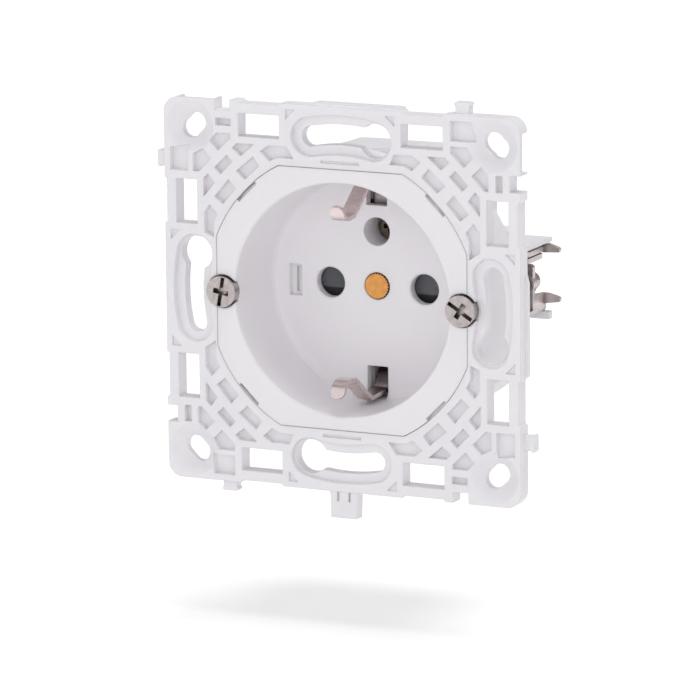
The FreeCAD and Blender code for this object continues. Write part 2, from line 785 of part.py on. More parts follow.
# Upper screw, seen deep in the upper hole
us_seat = FLOOR_BACK + " + boss_long - boss_floor"
us_driver = cut("upper_screw_driver", rod("upper_screw_head_rod", "upper_screw_head / 2",
                                          us_seat + " - upper_screw_head_tall", us_seat, z="upper_hole_at"),
                [box("upper_cross_a", "-0.4", "0.4", us_seat + " - upper_screw_head_tall - 1",
                     us_seat + " - upper_screw_head_tall + 0.8", "upper_hole_at - 1.3", "upper_hole_at + 1.3"),
                 box("upper_cross_b", "-1.3", "1.3", us_seat + " - upper_screw_head_tall - 1",
                     us_seat + " - upper_screw_head_tall + 0.8", "upper_hole_at - 0.4", "upper_hole_at + 0.4")])
upper_screw = fuse("assembly_screw", [
    us_driver,
    rod("upper_screw_shank", "upper_screw_size / 2", us_seat + " - 0.2", us_seat + " + upper_screw_long",
        z="upper_hole_at"),
])
upper_screw.Label = "assembly_screw"

# Claw screws with slot and cross recess, and the claws that ride on them
claw_screws = []
claws = []
for side, sign, lean in (("right", 1, -32), ("left", -1, 80)):
    x = "%d * claw_screw_at" % sign
    top_y = FRONT + " - claw_screw_proud"
    head_rod = rod("claw_head_" + side, "claw_screw_head / 2", top_y, top_y + " + claw_screw_head_tall", x=x)
    recess = []
    for k, (wide, tall) in enumerate(((0.75, 5.4), (0.95, 3.1))):
        blade = doc.addObject("Part::Box", "claw_recess_%s_%d" % (side, k))
        blade.Length = tall
        blade.Width = 2.2
        blade.Height = wide
        turn = FreeCAD.Rotation(V(0, 1, 0), -(lean + 90 * k))
        corner = turn.multVec(V(-tall / 2, 0, -wide / 2))
        blade.Placement = FreeCAD.Placement(V(0, 0, 0), turn)
        blade.setExpression("Placement.Base.x", bound("%s + %r" % (x, corner.x)))
        blade.setExpression("Placement.Base.y", bound(top_y + " - 1.1"))
        blade.setExpression("Placement.Base.z", bound("%r" % corner.z))
        recess.append(blade)
    driven = cut("claw_driven_" + side, head_rod, recess)
    screw = fuse("claw_screw_" + side, [
        driven,
        rod("claw_shank_" + side, "claw_screw_size / 2", top_y + " + claw_screw_head_tall - 0.3",
            top_y + " + claw_screw_long", x=x),
    ])
    screw.Label = "claw_screw_" + side
    claw_screws.append(screw)

    # claw: a web on the screw and two arms, each with a prong turned outwards
    s = size("claw_sheet")
    w = size("claw_width")
    zh = size("claw_height") / 2
    y1 = size("claw_rear")
    y0 = y1 - size("claw_arm_long")
    xc = size("claw_screw_at")
    prong = size("claw_prong")
    xi = xc - w / 2
    xo = xc + w / 2
    arm_outline = [
        (xi, y0),
        (xo - 0.9, y0),
        (xo, y0 + 0.9),
        (xo, y1 - 2.1),
        (xo + prong * 0.55, y1 - 1.5),
        (xo + prong, y1 - 0.45),
        (xo + prong, y1 - 0.1),
        (xo + prong * 0.5, y1),
        (xo - 0.8, y1),
        (xi, y1 - 1.8),
    ]
    pieces = []
    for level, name in ((zh - s, "upper"), (-zh, "lower")):
        pieces.append(extrude("claw_arm_%s_%s" % (name, side), loop([(sign * px, py) for px, py in arm_outline]),
                              V(0, 0, 1), "claw_sheet", FLAT, z="%r" % level))
    web_y = y1 - size("claw_web_back")
    lo, hi = sorted((sign * xi, sign * xo))
    web = doc.addObject("Part::Box", "claw_web_" + side)
    web.Length = hi - lo
    web.setExpression("Width", bound("claw_sheet * 1.2"))
    web.setExpression("Height", bound("claw_height - claw_sheet"))
    put(web, "%r" % lo, "claw_rear - claw_web_back", "-(claw_height - claw_sheet) / 2")
    collar = rod("claw_collar_" + side, "claw_screw_size / 2 + 0.55", "claw_rear - claw_web_back - 0.9",
                 "claw_rear - claw_web_back + 0.5", x=x)
    claw = cut("claw_" + side, fuse("claw_solid_" + side, pieces + [web, collar]), [
        rod("claw_thread_" + side, "claw_screw_size / 2 + 0.05", "claw_rear - claw_web_back - 3",
            "claw_rear - claw_web_back + 3", x=x)])
    claw.Label = "claw_" + side
    claws.append(claw)

# Contact carrier behind the strap, with the track of the shutter
cx = value(BODY_SIDE) - size("carrier_side_wall")
cz = value(BODY_RADIUS) - size("carrier_end_wall")


def carrier_edges(gap):
    """Oblong with cut corners that keeps inside the round body."""
    a = cx - gap
    b = cz - gap
    k = 8.5
    return loop([(-a + k, -b), (a - k, -b), (a, -b + k), (a, b - k), (a - k, b), (-a + k, b), (-a, b - k), (-a, -b + k)])


wing = size("shutter_wing") / 2
gap = size("shutter_gap")
px = size("pin_spacing") / 2
track_low = "-(shutter_foot + shutter_gap)"
track_top = "shutter_top + shutter_travel + shutter_gap"
track_floor = CARRIER_BACK + " - carrier_floor"
carrier_cuts = []
for side, sign in (("right", 1), ("left", -1)):
    lo, hi = sorted((sign * (px - wing - gap), sign * (px + wing + gap)))
    carrier_cuts.append(box("track_" + side, "%r" % lo, "%r" % hi, CARRIER_FRONT + " - 1", track_floor,
                            track_low, track_top))
    carrier_cuts.append(rod("carrier_pin_hole_" + side, "pin_hole / 2", CARRIER_FRONT, CARRIER_BACK + " + 1",
                            x="%d * pin_spacing / 2" % sign))
carrier_cuts.append(box("track_middle", "%r" % (-px), "%r" % px, CARRIER_FRONT + " - 1", track_floor,
                        "-(shutter_foot + shutter_gap)", "1 + shutter_travel + shutter_gap"))
carrier_cuts.append(box("spring_channel", "%r" % (-px + wing + gap - 6.6), "-3.4", CARRIER_FRONT + " - 1",
                        track_floor, "0", "12.6"))
carrier_cuts.append(rod("carrier_boss_hole", "upper_hole / 2 + boss_wall + part_gap", CARRIER_FRONT + " - 1",
                        CARRIER_BACK + " + 1", z="upper_hole_at"))
carrier_cuts.append(box("carrier_earth_slot", "-5.3", "5.3", CARRIER_FRONT + " - 1", CARRIER_BACK + " + 1",
                        "13.55", "15.6"))
for name, lo, hi, deep in (("upper", "15.6", "floor_window_far + 0.4", " + 1.2"),
                           ("lower", "-floor_window_far - 0.4", "-10.2", " + carrier_thick + 1")):
    carrier_cuts.append(box("carrier_window_" + name, "-floor_window_wide / 2", "floor_window_wide / 2",
                            CARRIER_FRONT + " - 1", CARRIER_FRONT + deep, lo, hi))
contact_carrier = cut("contact_carrier", slab("carrier_plate", carrier_edges(size("part_gap")),
                                              CARRIER_FRONT, CARRIER_BACK), carrier_cuts)
contact_carrier.Label = "contact_carrier"

# Shutter: two wings with a ramp below each, joined by a bridge
sy0 = value(CARRIER_BACK) - size("carrier_floor") - 0.15 - size("shutter_thick")
sy1 = sy0 + size("shutter_thick")
ramp = [(sy0, size("shutter_top")), (sy0, -size("shutter_edge")), (sy1 - size("shutter_lip"), -size("shutter_foot")),
        (sy1, -size("shutter_foot")), (sy1, size("shutter_top"))]
wings = []
for side, sign in (("right", 1), ("left", -1)):
    wings.append(extrude("wing_" + side, loop(ramp), V(1, 0, 0), "shutter_wing", SIDE,
                         x="%d * pin_spacing / 2 - shutter_wing / 2" % sign))
bridge = doc.addObject("Part::Box", "shutter_bridge")
bridge.setExpression("Length", bound("pin_spacing - shutter_wing + 1"))
bridge.setExpression("Width", bound("bridge_thick"))
bridge.setExpression("Height", bound("bridge_tall"))
put(bridge, "-(pin_spacing - shutter_wing + 1) / 2", CARRIER_BACK + " - carrier_floor - 0.15 - bridge_thick",
    "-shutter_foot")
shutter = fuse("shutter", wings + [bridge])
shutter.Label = "shutter"

# Shutter spring, a coil above the bridge
coil_r = (size("spring_diameter") - size("spring_wire")) / 2
spring_z0 = size("bridge_tall") - size("shutter_foot") + size("spring_wire") / 2 + 0.05
spring_z1 = 12.6 - size("spring_wire") / 2 - 0.05
helix = Part.makeHelix((spring_z1 - spring_z0) / 6.0, spring_z1 - spring_z0, coil_r)
wire_r = size("spring_wire") / 2
section = [V(coil_r + wire_r * math.cos(math.radians(60 * i)), 0, wire_r * math.sin(math.radians(60 * i)))
           for i in range(7)]
coil = Part.Wire(helix).makePipeShell([Part.makePolygon(section)], True, True)
shutter_spring = doc.addObject("Part::Feature", "shutter_spring")
shutter_spring.Shape = coil
shutter_spring.Placement = FreeCAD.Placement(V(-4.75, sy1 - size("spring_diameter") / 2, spring_z0), FreeCAD.Rotation())
shutter_spring.Label = "shutter_spring"

# Rear housing: skirt behind the frame, floor, narrow body with chambers, shelves beside the claws
skirt = cut("housing_skirt", rod("skirt_outer", BODY_RADIUS, "0", FLOOR_BACK + " + skirt_floor"),
            [rod("skirt_inner", BODY_RADIUS + " - skirt_wall", "-1", FLOOR_BACK + " + part_gap")])
body_block = common("housing_body",
                    rod("body_round", BODY_RADIUS, FLOOR_BACK + " + part_gap", "body_rear"),
                    box("body_flats", "-" + BODY_SIDE, BODY_SIDE, "0", "body_rear + 1",
                        "-body_half_tall", "body_half_tall"))
shelf_right = box("shelf_right", BODY_SIDE + " - 1", BODY_RADIUS, FLOOR_BACK, "shelf_rear",
                  "shelf_at", "shelf_at + shelf_thick")
lug_right = box("lug_right", BODY_SIDE + " - 1", BODY_RADIUS, "shelf_rear - 1.5", "shelf_rear",
                "-shelf_at", "-shelf_at + 1.4")
shelf_left = box("shelf_left", "-" + BODY_RADIUS, "-" + BODY_SIDE + " + 1", FLOOR_BACK, "shelf_rear",
                 "-shelf_at - shelf_thick", "-shelf_at")
lug_left = box("lug_left", "-" + BODY_RADIUS, "-" + BODY_SIDE + " + 1", "shelf_rear - 1.5", "shelf_rear",
               "shelf_at - 1.4", "shelf_at")
block_edges = [(1.7, 24.6), (11.3, 22.6), (11.3, 26.3), (9.8, 27.5), (1.7, 26.95)]
top_block = slab("top_block", loop(block_edges), "4", "12")
low_block = slab("low_block", loop([(-x, -z) for x, z in block_edges]), "4", "12")
housing_cuts = [slab("carrier_seat", carrier_edges(0.0), FLOOR_BACK + " - 1", CARRIER_BACK)]
for side, sign in (("right", "1"), ("left", "-1")):
    lo, hi = ("pin_spacing / 2 - 4.5", CHAMBER_SIDE) if sign == "1" else ("-" + CHAMBER_SIDE, "-pin_spacing / 2 + 4.5")
    housing_cuts.append(box("chamber_" + side, lo, hi, CARRIER_BACK + " - 1", CHAMBER_BACK, "-busbar_drop - 1", "4.3"))
    housing_cuts.append(rod("housing_screw_hole_" + side, "claw_screw_size / 2 + screw_clearance", FLOOR_BACK + " - 1",
                            FLOOR_BACK + " + skirt_floor + 1", x=sign + " * claw_screw_at"))
    lo, hi = (BODY_SIDE + " + 0.6", BODY_RADIUS + " + 1") if sign == "1" else ("-" + BODY_RADIUS + " - 1", "-" + BODY_SIDE + " - 0.6")
    housing_cuts.append(box("claw_bay_" + side, lo, hi, FLOOR_BACK, FLOOR_BACK + " + skirt_floor + 1",
                            "-shelf_at + 1.1", "shelf_at - 1.1"))
    for k, up in (("a", "0.5"), ("b", "-0.5")):
        housing_cuts.append(rod("wire_hole_%s_%s" % (k, side), "wire_hole / 2", CHAMBER_BACK + " - 1",
                                "body_rear + 1", x=sign + " * " + WIRE, z="-terminal_drop + %s * wire_pitch" % up))
    bx0, bx1 = BUTTON + " - button_gap", BUTTON + " + button_wide + button_gap"
    if sign == "-1":
        bx0, bx1 = "-(%s)" % bx1, "-(%s)" % bx0
    housing_cuts.append(box("button_hole_" + side, bx0, bx1, CHAMBER_BACK + " - 1", "body_rear + 1",
                            "-terminal_drop - button_tall / 2 - button_gap", "-terminal_drop + button_tall / 2 + button_gap"))
for side, lo, hi in (("right", "body_shoulder", BODY_RADIUS + " + 1"), ("left", "-" + BODY_RADIUS + " - 1", "-body_shoulder")):
    housing_cuts.append(box("shoulder_" + side, lo, hi, CARRIER_BACK + " + body_wall", "body_rear + 1",
                            "shelf_at + shelf_thick + 1", BODY_RADIUS + " + 1"))
housing_cuts.append(rod("boss_room", "upper_hole / 2 + boss_wall + part_gap", CARRIER_BACK + " - 1",
                        FLOOR_BACK + " + boss_long + part_gap", z="upper_hole_at"))
housing_cuts.append(box("chamber_earth", "-6.2", "6.2", CARRIER_BACK + " - 1", CHAMBER_BACK, "14.1", "21.6"))
housing_cuts.append(rod("assembly_thread", "upper_screw_size / 2 + 0.05", CARRIER_BACK + " - 1",
                        FLOOR_BACK + " + boss_long - boss_floor + upper_screw_long + 0.5", z="upper_hole_at"))
for k, up in (("a", "0.5"), ("b", "-0.5")):
    housing_cuts.append(rod("wire_hole_%s_earth" % k, "wire_hole / 2", CHAMBER_BACK + " - 1", "body_rear + 1",
                            x="%s * wire_pitch" % up, z=EARTH_WIRE))
housing_cuts.append(box("button_hole_earth", "-button_tall / 2 - button_gap", "button_tall / 2 + button_gap", CHAMBER_BACK + " - 1",
                        "body_rear + 1", EARTH_BUTTON + " - button_gap", EARTH_BUTTON + " + button_wide + button_gap"))
rear_housing = cut("rear_housing", fuse("housing_solid", [skirt, body_block, shelf_right, lug_right, shelf_left,
                                                           lug_left, top_block, low_block]), housing_cuts)
rear_housing.Label = "rear_housing"

# Line and neutral contacts: two leaves on a web, and a busbar down to the clamp
c0 = CARRIER_BACK + " + 0.3"
c1 = CARRIER_BACK + " + 0.3 + contact_long"
contacts = []
for name, sign in (("live_contact", 1), ("neutral_contact", -1)):
    lo, hi = WEB, WEB + " + contact_sheet"
    leaf_lo, leaf_hi = "pin_spacing / 2 - contact_leaf_inner", WEB + " + contact_sheet / 2"
    if sign == -1:
        lo, hi = "-(%s)" % hi, "-(%s)" % lo
        leaf_lo, leaf_hi = "-(%s)" % leaf_hi, "-(%s)" % leaf_lo
    contact = fuse(name, [
        box(name + "_web", lo, hi, c0, c1, "-busbar_drop", "contact_grip / 2 + contact_sheet"),
        box(name + "_leaf_upper", leaf_lo, leaf_hi, c0, c1, "contact_grip / 2", "contact_grip / 2 + contact_sheet"),
        box(name + "_leaf_lower", leaf_lo, leaf_hi, c0, c1, "-contact_grip / 2 - contact_sheet", "-contact_grip / 2"),
    ])
    contact.Label = name
    contacts.append(contact)

# Earth terminal plate, seated on the back of the strap
earth_terminal = fuse("earth_terminal", [
    box("earth_foot", "-5", "5", STRAP_BACK, STRAP_BACK + " + contact_sheet", "earth_plate_at - 1.7", "earth_plate_at"),
    box("earth_plate", "-5", "5", STRAP_BACK, c1, "earth_plate_at - contact_sheet", "earth_plate_at"),
])
earth_terminal.Label = "earth_terminal"

# Clamp springs, bent strips that press the wire against the busbar
ts = size("clamp_sheet")
cy = value(CARRIER_BACK)
springs = []
web = value(WEB) + size("contact_sheet")
side = value(CHAMBER_SIDE) - 0.3
clamp_path = [(side, cy + 1.2), (side, cy + 9.2), (side - 1.3, cy + 10.2), (web + 0.25 + ts / 2, cy + 5.0)]
for name, sign in (("live_clamp_spring", 1), ("neutral_clamp_spring", -1)):
    spring = extrude(name, strip([(sign * a, b) for a, b in clamp_path], ts, 0.55), V(0, 0, 1), "clamp_width", FLAT,
                     z="-terminal_drop - clamp_width / 2")
    spring.Label = name
    springs.append(spring)
plate_top = size("earth_plate_at")
earth_path = [(cy + 1.2, plate_top + 5.2), (cy + 9.2, plate_top + 5.2), (cy + 10.2, plate_top + 3.9),
              (cy + 5.0, plate_top + 0.25 + ts / 2)]
spring = extrude("earth_clamp_spring", strip(earth_path, ts, 0.55), V(1, 0, 0), "clamp_width", SIDE,
                 x="-clamp_width / 2")
spring.Label = "earth_clamp_spring"
springs.append(spring)

# Release buttons in the rear wall
buttons = []
button_front = CHAMBER_BACK + " - 0.3 - button_travel"
for name, sign in (("live_release_button", 1), ("neutral_release_button", -1)):
    lo, hi = BUTTON, BUTTON + " + button_wide"
    if sign == -1:
        lo, hi = "-(%s)" % hi, "-(%s)" % lo
    button = fuse(name, [
        box(name + "_stem", lo, hi, button_front, "body_rear + button_proud", "-terminal_drop - button_tall / 2",
            "-terminal_drop + button_tall / 2"),
        box(name + "_foot", lo, hi, button_front, CHAMBER_BACK + " - 0.3", "-terminal_drop - button_tall / 2 - 0.6",
            "-terminal_drop + button_tall / 2 + 0.6"),
    ])
    button.Label = name
    buttons.append(button)
button = fuse("earth_release_button", [
    box("earth_button_stem", "-button_tall / 2", "button_tall / 2", button_front, "body_rear + button_proud", EARTH_BUTTON,
        EARTH_BUTTON + " + button_wide"),
    box("earth_button_foot", "-button_tall / 2 - 0.6", "button_tall / 2 + 0.6", button_front, CHAMBER_BACK + " - 0.3",
        EARTH_BUTTON, EARTH_BUTTON + " + button_wide"),
])
button.Label = "earth_release_button"
buttons.append(button)

parts = [support_frame, socket_insert, rear_housing, contact_carrier, shutter, shutter_spring, earth_strap,
         earth_terminal, centre_stud, upper_screw] + claw_screws + claws + contacts + springs + buttons

doc.recompute()
for obj in doc.Objects:
    if any(word in obj.State for word in ("Invalid", "Error")):
        raise RuntimeError("failed: %s" % obj.Name)
os.makedirs("parts", exist_ok=True)
total = 0.0
for part in parts:
    shape = part.Shape
    if shape.isNull() or not shape.isValid() or not shape.Solids:
        raise RuntimeError("bad shape: %s" % part.Label)
    shape.exportStep("parts/%s.step" % part.Label)
    total += shape.Volume
    print("%-24s solids %d volume %9.2f" % (part.Label, len(shape.Solids), shape.Volume))
print("pieces %d, total volume %.1f mm3" % (len(parts), total))
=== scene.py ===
import bpy
import bmesh
import math
from mathutils import Matrix, Vector


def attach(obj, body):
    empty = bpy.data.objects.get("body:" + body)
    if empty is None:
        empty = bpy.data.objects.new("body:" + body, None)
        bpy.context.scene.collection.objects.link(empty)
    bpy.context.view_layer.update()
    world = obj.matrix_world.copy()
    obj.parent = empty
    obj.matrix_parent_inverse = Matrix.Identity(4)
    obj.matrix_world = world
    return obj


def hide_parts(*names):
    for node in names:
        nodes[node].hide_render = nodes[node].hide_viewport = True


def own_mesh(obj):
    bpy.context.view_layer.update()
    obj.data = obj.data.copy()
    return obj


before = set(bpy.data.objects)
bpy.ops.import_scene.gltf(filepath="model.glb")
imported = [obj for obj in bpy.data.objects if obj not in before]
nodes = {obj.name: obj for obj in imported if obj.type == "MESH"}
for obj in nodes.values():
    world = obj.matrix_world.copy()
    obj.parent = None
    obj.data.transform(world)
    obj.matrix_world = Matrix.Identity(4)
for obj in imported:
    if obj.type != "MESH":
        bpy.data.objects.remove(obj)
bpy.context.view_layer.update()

MM = 0.001
MM_PER_M = 1000


# Helpers for building node materials
def add_node(tree, kind, values=None, links=None, **settings):
    """A new node with its settings, then the values on its inputs, then what is linked into it."""
    n = tree.nodes.new(kind)
    for key, value in settings.items():
        setattr(n, key, value)
    for key, value in (values or {}).items():
        n.inputs[key].default_value = value
    for key, output in (links or {}).items():
        tree.links.new(output, n.inputs[key])
    return n


def new_material(name):
    mat = bpy.data.materials.new(name)
    mat.use_nodes = True
    tree = mat.node_tree
    tree.nodes.clear()
    out = add_node(tree, "ShaderNodeOutputMaterial")
    return mat, tree, out


def new_surface(name):
    """A material with one Principled shader."""
    mat, tree, out = new_material(name)
    shader = add_node(tree, "ShaderNodeBsdfPrincipled")
    tree.links.new(shader.outputs["BSDF"], out.inputs["Surface"])
    return mat, tree, shader


def place_coords(tree, offset=(0, 0, 0), scale=(1, 1, 1)):
    """Object coordinates in metres, moved and stretched."""
    coords = add_node(tree, "ShaderNodeTexCoord")
    mapping = add_node(tree, "ShaderNodeMapping", {"Location": offset, "Scale": scale},
                       {"Vector": coords.outputs["Object"]})
    return mapping.outputs["Vector"]


def noise(tree, vector, scale, detail=3.0, rough=0.5):
    values = {"Scale": scale, "Detail": detail, "Roughness": rough}
    return add_node(tree, "ShaderNodeTexNoise", values, {"Vector": vector}).outputs["Fac"]


def spread(tree, value, low, high, from_low=0.3, from_high=0.7):
    """The value between two marks, spread from low to high."""
    values = {"From Min": from_low, "From Max": from_high, "To Min": low, "To Max": high}
    return add_node(tree, "ShaderNodeMapRange", values, {"Value": value}).outputs["Result"]


def two_tone(tree, factor, first, second):
    values = {"A": (*first, 1), "B": (*second, 1)}
    return add_node(tree, "ShaderNodeMix", values, {"Factor": factor}, data_type="RGBA").outputs["Result"]


def soft_edges(tree, radius):
    """Normal that rounds every sharp edge by the radius, in metres."""
    return add_node(tree, "ShaderNodeBevel", {"Radius": radius}, samples=4).outputs["Normal"]


def bump(tree, height, strength, distance, normal):
    values = {"Strength": strength, "Distance": distance}
    return add_node(tree, "ShaderNodeBump", values, {"Height": height, "Normal": normal}).outputs["Normal"]


CREVICE_REACH = 0.0012


def crevices(tree, colour):
    """The colour, darkened where close surfaces shut out the light."""
    return add_node(tree, "ShaderNodeAmbientOcclusion", {"Distance": CREVICE_REACH}, {"Color": colour},
                    samples=8).outputs["Color"]


# Depths between which painted shade darkens the strap, behind the floor of the well
SHADE_FROM, SHADE_TO = 0.0128, 0.0140


def shade_inside_body(tree, at, colour, inside_shade):
    """The colour, turning into a darker painted shade tone deeper inside the body."""
    split = add_node(tree, "ShaderNodeSeparateXYZ", links={"Vector": at})
    factor = spread(tree, split.outputs["Y"], 0, 1, SHADE_FROM, SHADE_TO)
    return add_node(tree, "ShaderNodeMix", {"B": (*inside_shade, 1)}, {"A": colour, "Factor": factor},
                    data_type="RGBA").outputs["Result"]


# Scales of the noises, in waves to the metre
CLOUDS, WAVES, GRAIN = 70, 210, 2600
PATCHES, TURNED_PATCHES = 320, 900
RINGS = 5200
# Radii that the edges seem rounded by, in metres
PLASTIC_EDGE, SHEET_EDGE, TURNED_EDGE = 0.00022, 0.00012, 0.0001


# Moulded plastic: fine grain, faint cloudiness, rounded edges
def plastic(name, colour, shade, rough=0.38, glow=0.25):
    mat, tree, shader = new_surface(name)
    at = place_coords(tree)
    cloud = noise(tree, at, CLOUDS, 2.0)
    fine = noise(tree, at, GRAIN, 2.0, 0.6)
    wave = noise(tree, at, WAVES, 3.0, 0.55)
    tree.links.new(two_tone(tree, spread(tree, cloud, 0, 1), colour, shade), shader.inputs["Base Color"])
    tree.links.new(spread(tree, wave, rough - 0.05, rough + 0.05), shader.inputs["Roughness"])
    relief = bump(tree, wave, 0.05, 0.00008, soft_edges(tree, PLASTIC_EDGE))
    relief = bump(tree, fine, 0.12, 0.00001, relief)
    tree.links.new(relief, shader.inputs["Normal"])
    shader.inputs["IOR"].default_value = 1.5
    shader.inputs["Subsurface Weight"].default_value = glow
    shader.inputs["Subsurface Radius"].default_value = (0.0012, 0.0011, 0.0012)
    shader.inputs["Subsurface Scale"].default_value = 1.0
    return mat


# Sheet metal: long fine rolling lines, patches of different gloss, bright edges
def sheet_metal(name, colour, shade, rough=0.3, lines=(60, 900, 900), inside_shade=None):
    mat, tree, shader = new_surface(name)
    at = place_coords(tree)
    along = place_coords(tree, scale=lines)
    patch = noise(tree, at, PATCHES, 3.0, 0.6)
    drawn = noise(tree, along, 3.0, 3.0, 0.6)
    tone = two_tone(tree, spread(tree, patch, 0, 1), colour, shade)
    # painted shade, darkening the strap where it lies deep inside the body
    if inside_shade is not None:
        tone = shade_inside_body(tree, at, tone, inside_shade)
    tree.links.new(crevices(tree, tone), shader.inputs["Base Color"])
    tree.links.new(spread(tree, drawn, rough - 0.09, rough + 0.1), shader.inputs["Roughness"])
    relief = bump(tree, drawn, 0.25, 0.00002, soft_edges(tree, SHEET_EDGE))
    tree.links.new(relief, shader.inputs["Normal"])
    shader.inputs["Metallic"].default_value = 1.0
    return mat


# Turned metal: fine rings round the axis of a screw or stud
def turned_metal(name, colour, shade, centre, rough=0.28):
    mat, tree, shader = new_surface(name)
    at = place_coords(tree, offset=(-centre[0], -centre[1], -centre[2]))
    wave = add_node(tree, "ShaderNodeTexWave", {"Scale": RINGS, "Distortion": 1.2, "Detail": 2.0},
                    {"Vector": at}, wave_type="RINGS", rings_direction="Y")
    patch = noise(tree, at, TURNED_PATCHES, 3.0, 0.6)
    tone = two_tone(tree, spread(tree, patch, 0, 1), colour, shade)
    tree.links.new(crevices(tree, tone), shader.inputs["Base Color"])
    tree.links.new(spread(tree, patch, rough - 0.07, rough + 0.1), shader.inputs["Roughness"])
    relief = bump(tree, wave.outputs["Fac"], 0.12, 0.00001, soft_edges(tree, TURNED_EDGE))
    relief = bump(tree, patch, 0.2, 0.00003, relief)
    tree.links.new(relief, shader.inputs["Normal"])
    shader.inputs["Metallic"].default_value = 1.0
    return mat


# Places of the screws across the socket, in metres
CLAW_SCREW_X = 0.02395
UPPER_SCREW_Z = 0.01015

# Two close tones for each finish
looks = {
    "support_frame": plastic("frame_plastic", (0.90, 0.882, 0.905), (0.875, 0.857, 0.885), rough=0.34),
    "socket_insert": plastic("insert_plastic", (0.915, 0.895, 0.918), (0.90, 0.88, 0.905), rough=0.36),
    "rear_housing": plastic("housing_plastic", (0.87, 0.855, 0.88), (0.84, 0.825, 0.85), rough=0.42),
    "contact_carrier": plastic("carrier_plastic", (0.70, 0.69, 0.69), (0.66, 0.65, 0.65), rough=0.5),
    "shutter": plastic("shutter_plastic", (0.085, 0.085, 0.097), (0.07, 0.07, 0.08), rough=0.3, glow=0.0),
    # the strap's tones, with painted shade deeper inside the body
    "earth_strap": sheet_metal("strap_metal", (0.76, 0.65, 0.64), (0.67, 0.57, 0.56),
                               inside_shade=(0.28, 0.235, 0.24)),
    "earth_terminal": sheet_metal("terminal_brass", (0.66, 0.47, 0.22), (0.58, 0.40, 0.18), rough=0.32),
    "centre_stud": turned_metal("stud_brass", (0.70, 0.34, 0.11), (0.60, 0.27, 0.08), (0, 0, 0), rough=0.36),
    # upper screw: brownish steel, its tones darkened further as painted shade of the deep bore it sits in
    "assembly_screw": turned_metal("assembly_screw_steel", (0.24, 0.185, 0.145), (0.17, 0.13, 0.105),
                                   (0, 0, UPPER_SCREW_Z)),
}
for side, x in (("right", CLAW_SCREW_X), ("left", -CLAW_SCREW_X)):
    looks["claw_screw_" + side] = turned_metal("claw_screw_steel_" + side, (0.50, 0.45, 0.44),
                                               (0.40, 0.355, 0.345), (x, 0, 0), rough=0.24)
    looks["claw_" + side] = sheet_metal("claw_steel_" + side, (0.68, 0.62, 0.61), (0.54, 0.485, 0.48),
                                        rough=0.36, lines=(900, 60, 900))
shared_looks = {
    "_contact": sheet_metal("contact_brass", (0.68, 0.50, 0.25), (0.58, 0.40, 0.18)),
    "_spring": sheet_metal("spring_steel", (0.55, 0.54, 0.53), (0.45, 0.44, 0.43), rough=0.26),
    "_button": plastic("button_plastic", (0.74, 0.36, 0.10), (0.68, 0.31, 0.08), rough=0.42, glow=0.0),
}
for name in nodes:
    for ending, mat in shared_looks.items():
        if name.endswith(ending):
            looks[name] = mat

for name, obj in nodes.items():
    mat = looks[name]
    if not obj.material_slots:
        obj.data.materials.append(mat)
    for slot in obj.material_slots:
        slot.material = mat


# Helpers for building shapes
def add_object(name, data):
    obj = bpy.data.objects.new(name, data)
    bpy.context.scene.collection.objects.link(obj)
    return obj


def face_outwards(mesh):
    shape = bmesh.new()
    shape.from_mesh(mesh)
    bmesh.ops.recalc_face_normals(shape, faces=shape.faces)
    shape.to_mesh(mesh)
    shape.free()


def put_in_order(parts, key):
    """Sorts the vertices, edges or faces of a bmesh, whose order an extrusion changes from run to run."""
    rank = {part: i for i, part in enumerate(sorted(parts, key=key))}
    parts.sort(key=rank.get)
    parts.index_update()


def prism(points, axis, low, high, hand):
    """Closed prism in millimetres. The points lie across the axis; hand -1 turns it half round Y."""
    flip = Matrix.Scale(hand, 4, (1, 0, 0)) @ Matrix.Scale(hand, 4, (0, 0, 1))
    verts = []
    for end in (low, high):
        for a, b in points:
            place = {"x": (end, a, b), "y": (a, end, b), "z": (a, b, end)}[axis]
            verts.append(flip @ (Vector(place) * MM))
    n = len(points)
    faces = [list(range(n)), list(range(2 * n - 1, n - 1, -1))]
    faces += [[i, i + n, (i + 1) % n + n, (i + 1) % n] for i in range(n)]
    mesh = bpy.data.meshes.new("prism")
    mesh.from_pydata(verts, [], faces)
    face_outwards(mesh)
    return add_object("prism", mesh)


def merged(name, solids, holes):
    """One closed mesh from the solids, less the holes."""
    first = solids[0]
    for other, how in [(s, "UNION") for s in solids[1:]] + [(h, "DIFFERENCE") for h in holes]:
        change = first.modifiers.new("join", "BOOLEAN")
        change.operation = how
        change.solver = "EXACT"
        change.object = other
    bpy.context.view_layer.update()
    ready = first.evaluated_get(bpy.context.evaluated_depsgraph_get())
    mesh = bpy.data.meshes.new_from_object(ready)
    for piece in solids + holes:
        bpy.data.objects.remove(piece)
    return add_object(name, mesh)


ROUND_STEPS = 40


def round_points(x, z, radius):
    turns = [2 * math.pi * i / ROUND_STEPS for i in range(ROUND_STEPS)]
    return [(x + radius * math.cos(turn), z + radius * math.sin(turn)) for turn in turns]


# Spring of the shutter: a copy of the imported one, fixed to the base
spring = add_object("shutter_spring_form", nodes["shutter_spring"].data.copy())
spring.matrix_world = nodes["shutter_spring"].matrix_world.copy()
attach(spring, "base")
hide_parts("shutter_spring")
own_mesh(spring)

# Earth strap with steep round tips on its clips, in place of the flatter packed ones, in millimetres
STRAP_HALF = 1.4
CLIP_CUT, CLIP_MIDDLE = -1.5, 15.03
CLIP_INNER, CLIP_OUTER, CLIP_FRONT, CLIP_SIDE = 13, 19, -8, 3
CUT_SLACK = 0.001
TIP_MARGIN, TIP_STEPS = 0.3, 32
WELD = 0.000001
UPPER_TIP = [(-1.9, 15.03), (-2.6, 15.08), (-3.3, 15.24), (-3.75, 15.5), (-4.02, 15.85), (-4.2, 16.2),
             (-4.73, 17.6)]
LOWER_TIP = [(-1.9, 15.03), (-2.7, 15.1), (-3.5, 15.32), (-3.95, 15.62), (-4.25, 16.0), (-4.45, 16.4),
             (-4.99, 17.83)]

